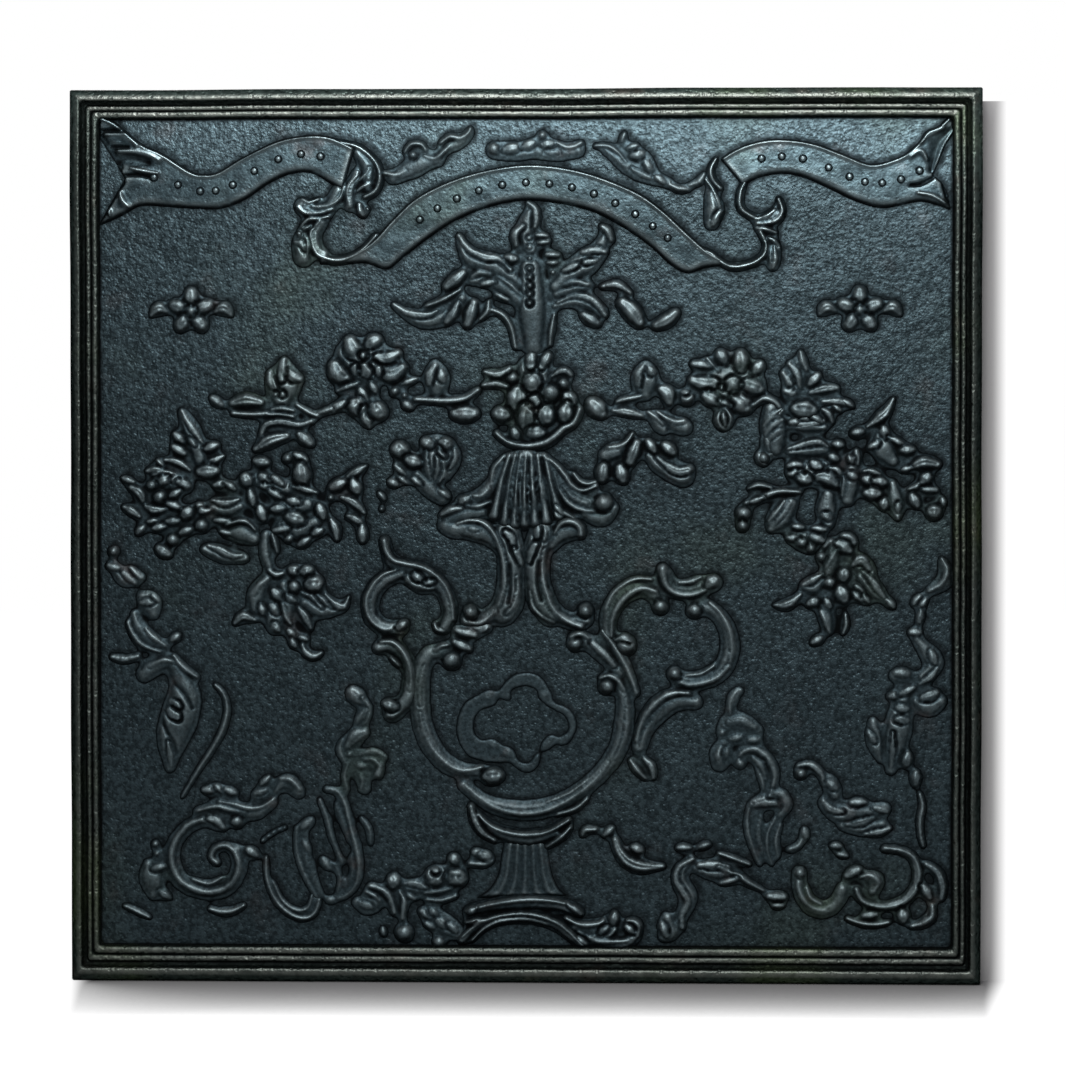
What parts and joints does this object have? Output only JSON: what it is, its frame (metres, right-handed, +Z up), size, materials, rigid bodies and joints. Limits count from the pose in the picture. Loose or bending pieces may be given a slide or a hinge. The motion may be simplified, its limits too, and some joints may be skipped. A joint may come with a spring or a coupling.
{
  "type": "fireback",
  "caption": "Cast-iron fireback: upright plate with a stepped beaded border, an urn of flowers with scrolled handles, flowering branches, corner scrolls and plain ribbons along the top",
  "frame": {"origin": "centre of the bottom edge, on the surface the plate stands on, half-way through its overall depth", "axes": "+X to the right seen from the front, +Y from the decorated face to the back, +Z up"},
  "size_m": [0.61, 0.026, 0.598],
  "materials": {
    "ground": "sand-cast face, blue-black stove finish with a soft sheen",
    "moulding": "sand-cast moulding, darker and faintly green-grey, crests rubbed bright",
    "ribbon": "low flat relief, blue-black with rubbed edges",
    "ornament": "rounded relief, blue-black with rubbed crests and faint rust in the hollows"
  },
  "bodies": {
    "root": {"back_plate": "ground", "border_top": "moulding", "border_bottom": "moulding", "border_left": "moulding", "border_right": "moulding", "bead_top": "moulding", "bead_bottom": "moulding", "bead_left": "moulding", "bead_right": "moulding", "ribbon_left": "ribbon", "ribbon_arch": "ribbon", "ribbon_right": "ribbon", "ribbon_knot_left": "ribbon", "ribbon_knot_right": "ribbon", "pellets_left": "ribbon", "pellets_arch": "ribbon", "pellets_right": "ribbon", "crest_left": "ornament", "crest_centre": "ornament", "crest_right": "ornament", "rosette_left": "ornament", "rosette_right": "ornament", "plume": "ornament", "flower_cluster": "ornament", "shell_lid": "ornament", "neck_scroll_left": "ornament", "neck_scroll_right": "ornament", "bowl_scrolls": "ornament", "bowl_dish": "ornament", "cartouche": "ornament", "stem": "ornament", "foot_arch": "ornament", "foot_scroll": "ornament", "handle_left": "ornament", "handle_right": "ornament", "branch_left": "ornament", "branch_right": "ornament", "spray_left": "ornament", "spray_right": "ornament", "bunch_left": "ornament", "bunch_right": "ornament", "pendant_left": "ornament", "pendant_right": "ornament", "side_scroll_left": "ornament", "side_scroll_right": "ornament", "corner_scroll_left": "ornament", "corner_scroll_right": "ornament", "leaf_group_left": "ornament", "leaf_group_right": "ornament", "base_spray_left": "ornament", "base_spray_right": "ornament"}
  },
  "joints": []
}
